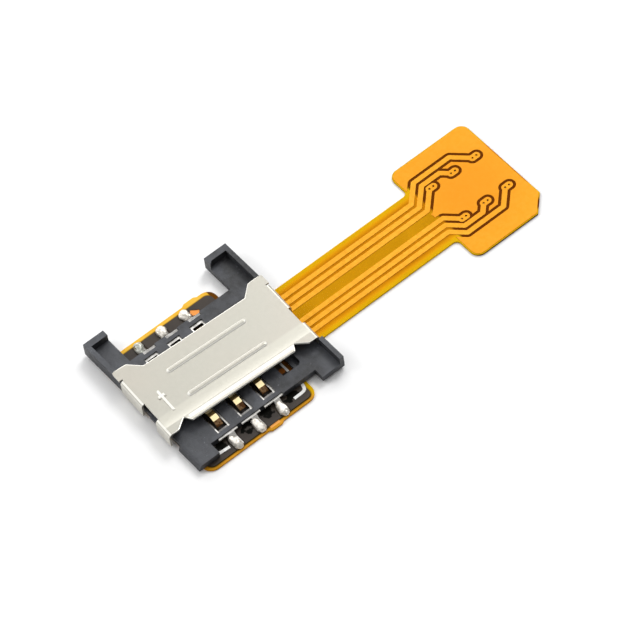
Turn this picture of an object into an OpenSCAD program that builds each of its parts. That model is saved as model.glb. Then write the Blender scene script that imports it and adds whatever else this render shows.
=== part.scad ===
// Card socket on a flexible circuit, with a cable and a card-sized contact paddle.
// X runs from the socket to the paddle, Z is up, and the film's underside lies at z = 0.
// The origin is under the middle of the card's eight contact places.
// The card goes in along +Y: the mouth is on the -Y side, called near, and the stops are far.

/* [Circuit film] */
// Thickness of the base film
film_t = 0.18; // [0.1:0.01:0.2]
// Thickness of the copper
copper_t = 0.04; // [0.02:0.01:0.07]
// Thickness of the coverlay and of the solder mask above the copper
skin_t = 0.04; // [0.02:0.01:0.08]
// Length of the board end, along the cable
board_l = 12.25; // [12:0.05:14]
// Width of the board end
board_w = 15.45; // [15.3:0.05:17]
// Place of its middle, across the cable
board_y = 0.08; // [-0.1:0.02:0.2]
// Corner radius of the board end
board_r = 1.0; // [0.6:0.1:1.5]
// How far the board end lies in from the housing's side
film_in = 0.3; // [0:0.05:0.4]
// Bare film left beside the solder mask
border = 0.42; // [0.2:0.02:0.5]
// Width of the solder mask
mask_w = 14.66; // [14.5:0.02:14.8]
// Width of the broken-off tab stubs on the board's edges
stub_w = 1.1; // [0.6:0.1:2]
// How far the tab stubs stand out
stub_out = 0.18; // [0.05:0.01:0.3]

/* [Cable and paddle] */
// Free length of the cable, from the board end to the paddle
cable_l = 19.56; // [12:0.01:60]
// Width of the cable
cable_w = 6.9; // [6.2:0.1:8]
// Place of the cable's centre line, off the middle of the contacts
cable_y = 0.2; // [-0.5:0.05:0.5]
// Length of the paddle, along the cable
paddle_l = 8.8; // [8.6:0.1:9.5]
// Width of the paddle
paddle_w = 12.4; // [12:0.1:13]
// Corner radius of the paddle
paddle_r = 0.9; // [0.5:0.1:1.2]
// Size of the cut corner
corner_cut = 1.65; // [1.2:0.05:1.8]
// Radius where the cable runs into the paddle
neck_r = 0.5; // [0.2:0.1:0.8]

/* [Copper] */
// Width of a trace
trace_w = 0.48; // [0.4:0.02:0.56]
// Distance between neighbouring traces
trace_pitch = 0.75; // [0.66:0.01:0.8]
// Gap between the two groups of three traces
group_gap = 1.1; // [0.6:0.05:1.5]
// Width of the etched gap between a trace and the paddle's copper fill
etch_gap = 0.28; // [0.15:0.01:0.32]
// Distance from the paddle's edge to its copper fill
fill_in = 0.12; // [0.1:0.02:0.4]
// Width of a trace's end round its plated holes
via_land = 0.7; // [0.6:0.02:0.8]
// Outer diameter of a plated hole
via_d = 0.34; // [0.28:0.01:0.4]
// Wall of a plated hole
via_wall = 0.07; // [0.04:0.01:0.09]
// Distance between the two plated holes of a pad
via_gap = 0.46; // [0.42:0.01:0.5]

/* [Paddle contacts] */
// Width of a contact pad, along the cable
pad_w = 1.7; // [1.4:0.05:2]
// Length of a contact pad
pad_l = 3.1; // [2.8:0.05:3.3]
// How far a pad runs out past the place where the host touches it
pad_past = 1.15; // [1:0.05:1.3]
// Corner radius of a contact pad
pad_r = 0.28; // [0.1:0.02:0.5]
// Thickness of a contact pad
pad_t = 0.03; // [0.02:0.01:0.05]
// How far the pads stand off the paddle's middle, along the cable
pad_shift_x = 0.18; // [0:0.02:0.3]
// How far the pads stand off the cable's centre line
pad_shift_y = 0.25; // [0:0.05:0.4]
// Distance from a pad's inner end to its plated holes
via_in = 0.4; // [0.36:0.02:0.6]

/* [Card] */
// Distance between neighbouring contacts, a card standard
contact_pitch = 2.54; // [2.54]
// Distance between the two rows of contacts, a card standard
row_span = 7.62; // [7.62]
// Width of the card
card_w = 15; // [15]
// Thickness of the card
card_t = 0.76; // [0.7:0.01:0.84]
// Clearance beside the card, on each side
card_side_gap = 0.1; // [0.05:0.01:0.2]
// Clearance above the card
card_top_gap = 0.04; // [0.02:0.01:0.1]

/* [Housing] */
// Place of the card's channel, off the middle of the contact places
channel_x = 0.3; // [0:0.05:0.5]
// Thickness of the floor
floor_t = 0.64; // [0.6:0.01:0.9]
// Width of the side rims
rim_w = 0.45; // [0.35:0.05:0.6]
// Width of the arm away from the cable
left_arm_w = 2.25; // [1.8:0.05:2.6]
// Width of the arm and the wing on the cable side
right_arm_w = 2.45; // [1.8:0.05:2.7]
// Distance from the middle to the faces that stop the card
stop_y = 9.05; // [8.9:0.05:10]
// Thickness of the stop walls
stop_t = 0.65; // [0.4:0.05:0.9]
// Width of the short rim on the inside of one arm's tip
return_w = 0.35; // [0.25:0.05:0.5]
// Length of that rim
return_l = 0.3; // [0.2:0.05:0.6]
// Distance from the middle to the edge of the floor behind the contacts
bar_y = 5.65; // [5.6:0.05:5.85]
// How far it steps out beside the contacts on the side where the card goes in
near_step = 0.2; // [0.1:0.05:0.4]
// Width of the notches that bare the contacts' crossbars on the far side
notch_w = 1.36; // [1.3:0.02:1.9]
// Sideways offset of the notches from the contacts
notch_shift = 0.36; // [0:0.02:0.4]
// Distance from the middle to the end where the card goes in
mouth_y = 6.9; // [6.6:0.05:7.4]
// Width of the block beside the mouth
block_w = 2.1; // [1.8:0.05:2.4]
// How far the block's foot stands out of the side
block_out = 0.2; // [0.05:0.05:0.3]
// Radius of the block's outer edge
block_r = 0.35; // [0.15:0.05:0.45]
// Width of a contact slot
slot_w = 1.4; // [1.3:0.02:1.6]
// Distance from the middle to the outer end of a slot
slot_out = 5.25; // [5.1:0.05:5.4]
// Distance from the middle to the inner end of a slot
slot_in = 1.0; // [0.8:0.1:1.4]
// Width of the spare opening at the fourth contact place
spare_w = 2.05; // [1.6:0.05:2.2]
// Length of the spare opening
spare_l = 2.3; // [1.8:0.1:3]
// Distance from the middle to the spare opening's outer end
spare_out = 4.45; // [4.2:0.05:4.7]
// Sideways offset of the spare opening from the fourth contact place
spare_shift = 0.67; // [0.4:0.01:0.8]
// Thickness of the web that closes it past the film's edge
web_t = 0.15; // [0.1:0.01:0.3]

/* [Contacts] */
// Thickness of the contact sheet
spring_t = 0.15; // [0.1:0.01:0.18]
// Height of the contact's frame above the film's top
frame_up = 0.34; // [0.3:0.01:0.45]
// Width of a frame's side rails
rail_w = 0.17; // [0.12:0.01:0.2]
// Length of the frame's inner crossbar
inner_bar = 0.6; // [0.4:0.05:0.8]
// How far the frame is let into the moulding on each side
let_in = 0.32; // [0.2:0.01:0.38]
// How far the outer crossbar shows on the far side
bar_show = 0.33; // [0.2:0.01:0.4]
// How far it shows on the side where the card goes in
near_bar_show = 0.18; // [0.1:0.01:0.4]
// How far it shows inside the slot
bar_in = 0.27; // [0.1:0.01:0.3]
// Width of the spring tongue
tongue_w = 0.66; // [0.5:0.02:0.75]
// Height of the tongue's crown above the floor
crown_up = 0.42; // [0.25:0.01:0.5]
// Distance from the contact place back to where the crown starts
crown_in = 0.5; // [0.3:0.05:0.6]
// Length of the crown
crown_l = 0.4; // [0.2:0.05:0.5]
// Length of the nose that slopes gently beyond the crown
nose_l = 0.46; // [0.3:0.02:0.5]
// Height by which the nose drops
nose_drop = 0.16; // [0.1:0.01:0.2]
// Distance from the contact place to the tongue's end
tongue_end = 0.8; // [0.6:0.05:1.2]
// Height by which the whole tongue drops beyond its crown
tongue_drop = 0.5; // [0.3:0.05:0.6]
// Width of the solder tail
tail_w = 0.6; // [0.4:0.02:0.7]
// Distance from the middle to the end of the tail
tail_y = 7.15; // [7:0.05:7.25]
// Sideways offset of the tails on the side where the card goes in
near_shift = 0.25; // [0:0.05:0.3]

/* [Solder] */
// Width of a solder pad
solder_pad_w = 1.05; // [0.9:0.05:1.3]
// Sideways offset of the pads on the side where the card goes in
near_pad_shift = 0.12; // [0:0.02:0.2]
// Distance from the middle to the inner edge of the solder pads
solder_pad_in = 6.1; // [6.05:0.05:6.2]
// Width of a solder joint
solder_w = 1.14; // [0.8:0.02:1.2]
// Height of a solder joint above the pad
solder_h = 0.44; // [0.4:0.02:0.6]
// Distance from the middle to the outer end of a joint
solder_y = 7.45; // [7.4:0.05:7.55]

// Width and length of the bare test land beside a joint
land_w = 0.6; // [0.4:0.05:0.8]
land_l = 0.85; // [0.7:0.05:1]
// Distance of its middle from the joint's middle, and from the pad's inner edge
land_x = 0.9; // [0.7:0.05:1]
land_y = 0.45; // [0.3:0.05:0.6]
// Angle by which the land is turned, in degrees
land_turn = 37; // [0:1:45]

/* [Cover] */
// Thickness of the cover sheet
cover_t = 0.18; // [0.12:0.01:0.22]
// Width of the cover over its flanges
cover_w = 16.3; // [16.1:0.05:16.5]
// Place of the cover's middle, along the cable
cover_x = 0.15; // [0:0.05:0.4]
// Place of the cover's middle, across the cable
cover_y = 0.75; // [0.4:0.05:1]
// Angle by which the cover sits turned on the housing, in degrees
cover_turn = 2.5; // [0:0.5:3]
// Distance from its middle to the far feet
far_foot = 4.35; // [4.1:0.05:4.6]
// Distance from its middle to the far edge between the feet
far_waist = 3.25; // [3:0.05:3.5]
// Width of the far feet at their ends
far_foot_w = 1.5; // [1.2:0.05:1.8]
// Width of the far feet at their roots
far_root_w = 2.63; // [2.3:0.05:3]
// Distance from its middle to the near feet and the lip
near_foot = 4.3; // [4.1:0.05:4.5]
// Width of the near feet at their ends
near_foot_w = 1.1; // [0.8:0.05:1.4]
// Width of the near feet at their roots
near_root_w = 2.2; // [1.9:0.05:2.4]
// Depth of the notch between a near foot and the lip
lip_notch = 0.8; // [0.6:0.05:1]
// How far the lip's corner lies out of the notch
lip_flare = 0.4; // [0.2:0.05:0.5]
// Corner radius of the sheet's outline
sheet_r = 0.2; // [0.1:0.02:0.3]
// Height by which the lip is bent up
lip_up = 0.18; // [0.1:0.01:0.3]
// Outer radius of the bends to the flanges
bend_r = 0.35; // [0.25:0.01:0.5]
// Clearance under the flanges, above the film
flange_gap = 0.03; // [0.02:0.01:0.1]
// Length of the flat tab between a flange and the far foot's end
tab_l = 1.3; // [1:0.05:1.6]
// Relief cut between that tab and the flange
relief = 0.15; // [0.08:0.01:0.25]
// Length of the window in a flange
window_l = 2.1; // [1.9:0.05:2.4]
// Distance from the cover's middle to the middle of the window
window_y = 1.2; // [1:0.05:1.4]
// Clearance between the cover's flanges and the housing
seat_gap = 0.05; // [0.02:0.01:0.1]

/* [Cover marks] */
// Width of a stiffening rib
rib_w = 0.55; // [0.5:0.05:0.7]
// Height of a stiffening rib
rib_h = 0.12; // [0.06:0.01:0.13]
// Length of a rib
rib_l = 8.55; // [6:0.05:9]
// Offset of the ribs from the cover's middle, away from the cable
rib_shift = 0.08; // [0:0.01:0.4]
// Distance from the cover's middle to the far rib
rib_far = 1.3; // [0.8:0.05:1.6]
// Distance from the cover's middle to the near rib
rib_near = 1.85; // [1.5:0.05:2.4]
// Length of the raised arrow that shows how the card goes in
arrow_l = 2.3; // [1.6:0.05:3]
// Width of the arrow's strokes
arrow_w = 0.28; // [0.12:0.01:0.3]
// Height of the arrow's strokes
arrow_h = 0.05; // [0.02:0.01:0.08]
// Width of the arrow's head
arrow_head_w = 0.58; // [0.4:0.02:0.9]
// Length of the arrow's head
arrow_head_l = 0.63; // [0.4:0.01:0.9]
// Distance from the cover's side to the arrow
arrow_in = 2.0; // [1.6:0.05:2.6]
// Distance from the cover's middle back to the arrow's middle
arrow_back = 1.06; // [0.6:0.02:1.5]

/* [Hidden] */
$fn = 32;
// A length that makes a cut run clear of what it cuts
over = 1;
// Points on the arc of a rounded corner
arc_n = 6;

// Levels, from the table up
copper_z = film_t;
copper_top = film_t + copper_t;
film_top = copper_top + skin_t;
floor_top = film_top + floor_t;
rim_top = floor_top + card_t + card_top_gap;
cover_top = rim_top + cover_t;

// The housing's sides, and the film that shows past them
channel_w = card_w + 2 * card_side_gap;
side_l = channel_x - channel_w / 2 - rim_w;
side_r = channel_x + channel_w / 2 + rim_w;
far_y = stop_y + stop_t;
arm_l = side_l + left_arm_w;
arm_r = side_r - right_arm_w;
board_x0 = side_l + film_in;
board_x1 = board_x0 + board_l;
mask_x1 = board_x1 - border;
paddle_x0 = board_x1 + cable_l;
paddle_x1 = paddle_x0 + paddle_l;

// Contact places, counted from the side away from the cable: three contacts and a spare one
contact_x = [for (i = [0:3]) (i - 1.5) * contact_pitch];
row_y = row_span / 2;

// Paddle pads: middle of the field, and the line of the plated holes
pad_x = paddle_x0 + paddle_l / 2 + pad_shift_x;
pad_y = cable_y + pad_shift_y;
pad_out = row_y + pad_past;
via_y = pad_out - pad_l + via_in;

// The cover is turned about its middle, so its flanges reach further in at one end
half_w = cover_w / 2;
flange_far = far_foot - tab_l;
lip_run = lip_notch + relief;
turn_y = half_w * sin(cover_turn);
seat_l = cover_x - (half_w - cover_t) * cos(cover_turn) + flange_far * sin(cover_turn) + seat_gap;
seat_r = cover_x + (half_w - cover_t) * cos(cover_turn) - near_foot * sin(cover_turn) - seat_gap;
seat_y0 = cover_y - near_foot - turn_y - seat_gap;
seat_y1 = cover_y + flange_far + turn_y + seat_gap;

// Row of a contact: numbers 1 to 3 lie on the far side, 4 to 6 where the card goes in
function row_side(n) = n <= 3 ? 1 : -1;
// Place of a contact in its row, 0 to 2, the same for its trace and its pad
function row_place(n) = (n - 1) % 3;
// Distance from the middle to the outer edge of a contact's frame
function frame_end(n) = bar_y + (row_side(n) < 0 ? near_bar_show : bar_show);
function tail_x(n) = contact_x[row_place(n)] + (row_side(n) < 0 ? near_shift : 0);
function solder_x(n) = contact_x[row_place(n)] + (row_side(n) < 0 ? near_pad_shift : 0);

// Arc of radius r that rounds the corner b between a and c
function unit(v) = v / norm(v);
function corner(a, b, c, r) =
    r == 0 ? [b] :
    let (u = unit(a - b), v = unit(c - b),
         half = acos(u * v) / 2,
         m = b + unit(u + v) * r / sin(half),
         from = b + u * r / tan(half) - m,
         to = b + v * r / tan(half) - m,
         a0 = atan2(from.y, from.x),
         turn = (atan2(to.y, to.x) - a0 + 540) % 360 - 180)
    [for (i = [0:arc_n]) m + r * [cos(a0 + turn * i / arc_n), sin(a0 + turn * i / arc_n)]];
// Outline whose corners, given as [x, y, radius], are rounded
function rounded(p) =
    let (n = len(p), q = [for (v = p) [v.x, v.y]])
    [for (i = [0:n - 1]) each corner(q[(i + n - 1) % n], q[i], q[(i + 1) % n], p[i][2])];

// Band of width w along a line of points, with round ends and joints
module run(p, w) {
    for (i = [0:len(p) - 2]) {
        d = p[i + 1] - p[i];
        translate(p[i]) rotate(atan2(d.y, d.x)) translate([0, -w / 2]) square([norm(d), w]);
    }
    for (v = p) translate(v) circle(d = w);
}

// What follows is drawn for the far side, and turned to the near one where side is -1
module facing(side) {
    rotate(side < 0 ? 180 : 0) children();
}

// Box from one corner to the opposite one
module block(a, b) {
    translate(a) cube(b - a);
}

// The film's outlines

module board_plan() {
    x0 = board_x0;
    x1 = board_x1;
    half = board_w / 2;
    r = board_r;
    translate([0, board_y]) polygon(rounded([[x0, -half, r], [x1, -half, r], [x1, half, r], [x0, half, r]]));
}

module mask_plan() {
    x0 = board_x0 + border;
    half = mask_w / 2;
    r = board_r - border;
    polygon(rounded([[x0, -half, r], [mask_x1, -half, r], [mask_x1, half, r], [x0, half, r]]));
}

// Short stubs where the board was broken out of its panel
module stub_plan() {
    for (s = [-1, 1]) {
        x = contact_x[2] + s * contact_pitch / 2;
        y0 = board_w / 2 - stub_out;
        y1 = board_w / 2 + stub_out;
        translate([x, board_y]) facing(s)
            polygon(rounded([[-stub_w, y0, 0], [stub_w, y0, 0], [stub_w / 2, y1, stub_out],
                             [-stub_w / 2, y1, stub_out]]));
    }
}

module cable_plan() {
    translate([board_x1 - border - over, cable_y - cable_w / 2])
        square([cable_l + border + 2 * over, cable_w]);
}

module paddle_plan(inset) {
    x0 = paddle_x0 + inset;
    x1 = paddle_x1 - inset;
    y0 = cable_y - paddle_w / 2 + inset;
    y1 = cable_y + paddle_w / 2 - inset;
    r = paddle_r - inset;
    cut = corner_cut - inset * (2 - sqrt(2));
    polygon(rounded([[x0, y0, r], [x1 - cut, y0, 0], [x1, y0 + cut, 0], [x1, y1, r], [x0, y1, r]]));
}

// Hollow corners between the cable and the paddle
module neck_plan() {
    for (s = [-1, 1]) translate([paddle_x0 - neck_r, cable_y + s * cable_w / 2])
        difference() {
            translate([0, -neck_r]) square([neck_r * 1.5, neck_r * 2]);
            translate([0, s * neck_r]) circle(r = neck_r);
        }
}

module film_plan() {
    board_plan();
    stub_plan();
    cable_plan();
    paddle_plan(0);
    neck_plan();
}

// The copper

// Route of a trace, from its solder pad under the housing and along the cable to its plated holes
function trace_path(n) =
    let (s = row_side(n), j = row_place(n),
         lane = cable_y + s * (group_gap / 2 + trace_w / 2 + j * trace_pitch),
         last = pad_y + s * via_y,
         jog = abs(last + s * j * trace_pitch - lane),
         step = j * trace_pitch * tan(22.5),
         hole_x = pad_x + (j - 1) * contact_pitch - via_gap / 2,
         jog_x = pad_x - contact_pitch - via_gap / 2 - step,
         px = solder_x(n))
    concat([[px, s * (mask_w / 2 - trace_w)], [px, lane + s * trace_pitch],
            [px + trace_pitch, lane], [jog_x - jog, lane], [jog_x, lane + s * jog]],
           j == 0 ? [] : [[hole_x - j * trace_pitch, last + s * j * trace_pitch], [hole_x, last]]);

// Places of a pad's two plated holes
function via_places(n) =
    [for (e = [-0.5, 0.5]) [pad_x + (row_place(n) - 1) * contact_pitch + e * via_gap,
                           pad_y + row_side(n) * via_y]];

module solder_pad_plan(n) {
    s = row_side(n);
    y1 = mask_w / 2;
    translate([solder_x(n), 0]) facing(s) translate([-solder_pad_w / 2, solder_pad_in])
        square([solder_pad_w, y1 - solder_pad_in]);
}

// Bare test land beside the far solder joint nearest the cable
module test_land_plan() {
    translate([solder_x(3) + land_x, solder_pad_in + land_y]) rotate(-land_turn)
        square([land_l, land_w], center = true);
}

module trace_plan(n, grow = 0) {
    run(trace_path(n), trace_w + 2 * grow);
    run(via_places(n), via_land + 2 * grow);
}

module trace_copper_plan(n) {
    trace_plan(n);
    solder_pad_plan(n);
    if (n == 3) test_land_plan();
}

module via_holes(n) {
    for (v = via_places(n)) translate(v) circle(d = via_d);
}

module pour_plan() {
    difference() {
        paddle_plan(fill_in);
        for (n = [1:6]) trace_plan(n, etch_gap);
    }
}

module copper_trace(n) {
    color("darkorange") translate([0, 0, copper_z]) linear_extrude(copper_t)
        difference() {
            trace_copper_plan(n);
            via_holes(n);
        }
}

module ground_pour() {
    color("orange") translate([0, 0, copper_z]) linear_extrude(copper_t) pour_plan();
}

// The films

module pad_plan(n) {
    s = row_side(n);
    x = pad_x + (row_place(n) - 1) * contact_pitch;
    y0 = pad_out - pad_l;
    translate([x, pad_y]) facing(s)
        polygon(rounded([[-pad_w / 2, y0, pad_r], [pad_w / 2, y0, pad_r],
                         [pad_w / 2, pad_out, pad_r], [-pad_w / 2, pad_out, pad_r]]));
}

module base_film() {
    color("goldenrod") difference() {
        linear_extrude(film_t) film_plan();
        for (n = [1:6]) {
            translate([0, 0, -over]) linear_extrude(over + pad_t) pad_plan(n);
            translate([0, 0, -over]) linear_extrude(film_t + 2 * over) via_holes(n);
        }
    }
}

module copper_pockets() {
    translate([0, 0, copper_z - over]) linear_extrude(over + copper_t) {
        for (n = [1:6]) trace_copper_plan(n);
        pour_plan();
    }
}

module coverlay() {
    color("orange") difference() {
        translate([0, 0, copper_z]) linear_extrude(copper_t + skin_t) difference() {
            film_plan();
            translate([board_x0 - over, -board_w]) square([mask_x1 - board_x0 + over, 2 * board_w]);
            difference() {
                translate([mask_x1 - over, -board_w]) square([border + over, 2 * board_w]);
                cable_plan();
            }
        }
        copper_pockets();
    }
}

module solder_mask() {
    color("darkslategray") difference() {
        translate([0, 0, copper_z]) linear_extrude(copper_t + skin_t) difference() {
            mask_plan();
            for (n = [1:6]) solder_pad_plan(n);
            test_land_plan();
        }
        copper_pockets();
    }
}

// Gold contact in the paddle's underside, with its two plated holes
module contact_pad(n) {
    color("gold") {
        difference() {
            union() {
                linear_extrude(pad_t) pad_plan(n);
                linear_extrude(copper_top) via_holes(n);
            }
            for (v = via_places(n)) translate([v.x, v.y, -over])
                cylinder(d = via_d - 2 * via_wall, h = copper_top + 2 * over);
        }
    }
}

// The contacts

frame_z = film_top + frame_up;

// Flat stamped frame: inner crossbar, two rails and the outer crossbar, which are let into the moulding
module frame_plan(n) {
    w = slot_w / 2;
    translate([-w - let_in, slot_in - let_in]) square([2 * (w + let_in), let_in]);
    translate([-w, slot_in]) square([2 * w, inner_bar]);
    for (s = [-1, 1]) translate([s * (w - rail_w / 2) - rail_w / 2, slot_in])
        square([rail_w, slot_out - slot_in]);
    translate([-w, slot_out - bar_in]) square([2 * w, bar_in]);
    translate([-w - let_in, slot_out]) square([2 * (w + let_in), frame_end(n) - slot_out]);
}

// Strip of sheet that follows a line of [distance out, height] points, centred on its sheet line
module bent_strip(p, w) {
    rotate([90, 0, 90]) translate([0, 0, -w / 2]) linear_extrude(w) run(p, spring_t);
}

// Contact spring: stamped frame, raised tongue, and a tail
module contact_shape(n) {
    mid = frame_z + spring_t / 2;
    crown = floor_top + crown_up - spring_t / 2;
    foot = copper_top + spring_t / 2;
    root = slot_in + inner_bar / 2;
    end = frame_end(n);
    slope = end + mid - foot;
    nose = row_y - crown_in + crown_l;
    translate([0, 0, frame_z]) linear_extrude(spring_t) frame_plan(n);
    bent_strip([[root, mid], [root + inner_bar, mid], [row_y - crown_in, crown], [nose, crown],
                [nose + nose_l, crown - nose_drop], [row_y + tongue_end, crown - tongue_drop]], tongue_w);
    translate([row_side(n) * (tail_x(n) - contact_x[row_place(n)]), 0, 0])
        bent_strip([[end - spring_t, mid], [end, mid], [min(slope, tail_y - tail_w / 2), foot],
                    [tail_y, foot]], tail_w);
}

module contact(n) {
    color("gold") translate([contact_x[row_place(n)], 0, 0]) facing(row_side(n))
        contact_shape(n);
}

// Solder drawn up over a tail, on its bare pad
module solder_joint(n) {
    s = row_side(n);
    r = solder_w / 2;
    color("lightgray") difference() {
        union() {
            intersection() {
                translate([solder_x(n), 0, film_top]) facing(s)
                    block([-solder_w, 0, 0], [solder_w, 2 * tail_y, over]);
                hull() {
                    translate([solder_x(n), s * (solder_y - r), copper_top + solder_h - r])
                        sphere(r = r, $fn = 24);
                    translate([tail_x(n), s * (solder_pad_in + r * 0.8), copper_top + solder_h - r])
                        sphere(r = r * 0.8, $fn = 24);
                }
            }
            translate([0, 0, copper_top]) linear_extrude(skin_t) solder_pad_plan(n);
        }
        contact(n);
    }
}

// The housing

// Floor of the moulding, with its two arms on the far side and its mouth on the near one
module floor_plan() {
    inner = contact_x[2] + slot_w / 2 + let_in;
    polygon([[side_l, -mouth_y], [side_l + block_w, -mouth_y], [side_l + block_w, -bar_y],
             [inner, -bar_y], [inner, -bar_y - near_step], [arm_r, -bar_y - near_step],
             [arm_r, -mouth_y], [side_r, -mouth_y], [side_r, far_y], [arm_r, far_y],
             [arm_r, bar_y + bar_show], [arm_l, bar_y + bar_show], [arm_l, far_y], [side_l, far_y]]);
}

// Notches in the floor's far edge, where the crossbars show
module notch_plan() {
    for (i = [0:2]) translate([contact_x[i] + notch_shift - notch_w / 2, bar_y])
        square([notch_w, bar_show + over]);
}

spare_x = contact_x[3] + spare_shift - spare_w / 2;

// Slots for the springs, and the spare opening at the fourth place
module slot_plan() {
    for (i = [0:2], s = [-1, 1]) translate([contact_x[i], 0]) facing(s)
        translate([-slot_w / 2, slot_in]) square([slot_w, slot_out - slot_in]);
    x0 = spare_x;
    slant = spare_w / 8;
    polygon([[x0, -spare_out], [x0 + spare_w - slant, -spare_out], [x0 + spare_w, -spare_out + slant],
             [x0 + spare_w, -spare_out + spare_l], [x0, -spare_out + spare_l]]);
}

// Side rims and card stops
module rim_plan() {
    translate([side_l, seat_y1]) square([rim_w, far_y - seat_y1]);
    translate([side_r - rim_w, seat_y1]) square([rim_w, far_y - seat_y1]);
    translate([side_r - rim_w, -mouth_y]) square([rim_w, mouth_y + seat_y0]);
    translate([side_l, stop_y]) square([left_arm_w, stop_t]);
    translate([arm_r, stop_y]) square([right_arm_w, stop_t]);
    polygon([[arm_r, stop_y - return_l], [arm_r + return_w, stop_y], [arm_r, stop_y]]);
    translate([arm_r, stop_y]) square([return_w, stop_t]);
}

// Block beside the mouth, with its rounded outer edge over a wider foot
module mouth_block() {
    translate([0, seat_y0, 0]) rotate([90, 0, 0]) linear_extrude(mouth_y + seat_y0)
        polygon(rounded([[side_l - block_out, film_top, 0], [side_l + block_w, film_top, 0],
                         [side_l + block_w, floor_top, 0], [side_l, floor_top, block_r]]));
}

// Nubs that stand in the cover's windows
module window_nubs() {
    l = window_l - 2 * turn_y - 4 * seat_gap;
    y = cover_y - window_y;
    z0 = film_top + floor_t / 2;
    block([seat_l - cover_t, y - l / 2, z0], [seat_l + over, y + l / 2, floor_top]);
    block([seat_r - over, y - l / 2, z0], [seat_r + cover_t, y + l / 2, floor_top]);
}

// Web under the spare opening where no film lies below it
module opening_web() {
    block([board_x1, -spare_out - web_t, film_top],
          [spare_x + spare_w + web_t, -spare_out + spare_l + web_t, film_top + web_t]);
}

module housing() {
    color("dimgray") {
        opening_web();
        pierced_body();
    }
}

module pierced_body() {
    difference() {
        union() {
            difference() {
                union() {
                    translate([0, 0, film_top]) linear_extrude(floor_t) floor_plan();
                    translate([0, 0, film_top]) linear_extrude(rim_top - film_top) rim_plan();
                }
                block([side_l - over, seat_y0, 0], [seat_l, seat_y1, rim_top + over]);
                block([seat_r, seat_y0, 0], [side_r + over, seat_y1, rim_top + over]);
                block([side_l - over, -mouth_y - over, 0], [side_l + block_w, seat_y0, rim_top + over]);
            }
            mouth_block();
            window_nubs();
        }
        translate([0, 0, film_top - over]) linear_extrude(floor_t + 2 * over) {
            slot_plan();
            notch_plan();
        }
        for (n = [1:6]) translate([contact_x[row_place(n)], 0, frame_z]) facing(row_side(n))
            linear_extrude(spring_t) frame_plan(n);
    }
}

// The cover, drawn about its own middle and then turned

module cover_plan() {
    far_x = half_w - far_foot_w;
    far_in = half_w - far_root_w;
    near_x = half_w - near_foot_w;
    near_in = half_w - near_root_w;
    lip_x = near_in - lip_flare;
    lip_y = near_foot - lip_notch;
    tight = sheet_r / 2;
    right = [[lip_x, -near_foot, sheet_r], [near_in, -lip_y, tight], [near_x, -near_foot, tight],
             [half_w, -near_foot, tight / 2], [half_w, far_foot, sheet_r], [far_x, far_foot, sheet_r],
             [far_in, far_waist, sheet_r]];
    left = [for (i = [len(right) - 1:-1:0]) [-right[i].x, right[i].y, right[i][2]]];
    polygon(rounded(concat(right, left)));
}

// Section of a flange: the bend at the cover's side and the leg below it
module flange_section() {
    leg = cover_top - film_top - flange_gap - bend_r;
    translate([half_w - bend_r, -bend_r]) difference() {
        circle(r = bend_r);
        circle(r = bend_r - cover_t);
        translate([-bend_r - over, -bend_r]) square([bend_r + over, 2 * bend_r]);
        translate([-over, -bend_r - over]) square([bend_r + 2 * over, bend_r + over]);
    }
    translate([half_w - cover_t, -bend_r - leg]) square([cover_t, leg]);
}

// Stretch of a flange from y0 to y1
module flange(y0, y1) {
    translate([0, y1, cover_top]) rotate([90, 0, 0]) linear_extrude(y1 - y0) flange_section();
}

// Section of the lip, which curves up towards its edge
module lip_section() {
    r = (lip_run * lip_run + lip_up * lip_up) / (2 * lip_up);
    translate([near_foot - lip_run, rim_top + r]) intersection() {
        difference() {
            circle(r = r, $fn = 96);
            circle(r = r - cover_t, $fn = 96);
        }
        translate([0, -r - over]) square([lip_run + over, r + over]);
    }
}

// Bead pressed up out of the sheet: its outside, or the hollow under it
module rib(y, hollow) {
    r = (rib_w * rib_w / 4 + rib_h * rib_h) / (2 * rib_h);
    ball = hollow ? r - cover_t : r;
    reach = rib_l / 2 - rib_w / 2;
    translate([-rib_shift - reach, y, cover_top + rib_h - r]) {
        rotate([0, 90, 0]) cylinder(r = ball, h = 2 * reach);
        sphere(r = ball);
        translate([2 * reach, 0, 0]) sphere(r = ball);
    }
}

// Raised arrow that points the way the card goes in
module arrow() {
    tip = [-half_w + arrow_in, arrow_l / 2 - arrow_back];
    translate([0, 0, cover_top - cover_t / 2]) linear_extrude(cover_t / 2 + arrow_h) {
        run([tip, tip - [0, arrow_l]], arrow_w);
        for (s = [-1, 1]) run([tip, tip + [s * arrow_head_w / 2, -arrow_head_l]], arrow_w);
    }
}

// Flat of the sheet, cut back where the flanges bend down and where the lip curves up
module cover_flat() {
    flat_x = half_w - bend_r;
    near_in = half_w - near_root_w;
    translate([0, 0, rim_top]) linear_extrude(cover_t) difference() {
        cover_plan();
        for (s = [-1, 1]) translate([s > 0 ? flat_x : -half_w - over, -near_foot - over])
            square([bend_r + over, near_foot + over + flange_far + relief]);
        translate([-near_in, -near_foot - over]) square([2 * near_in, over + lip_run]);
    }
}

module cover_lip() {
    near_in = half_w - near_root_w;
    intersection() {
        linear_extrude(cover_top + lip_up + over) cover_plan();
        mirror([0, 1, 0]) rotate([90, 0, 90]) translate([0, 0, -near_in]) linear_extrude(2 * near_in)
            lip_section();
    }
}

module cover_flanges() {
    for (s = [0, 1]) mirror([s, 0, 0]) {
        flange(-near_foot, -window_y - window_l / 2);
        flange(-window_y + window_l / 2, flange_far);
    }
}

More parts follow.
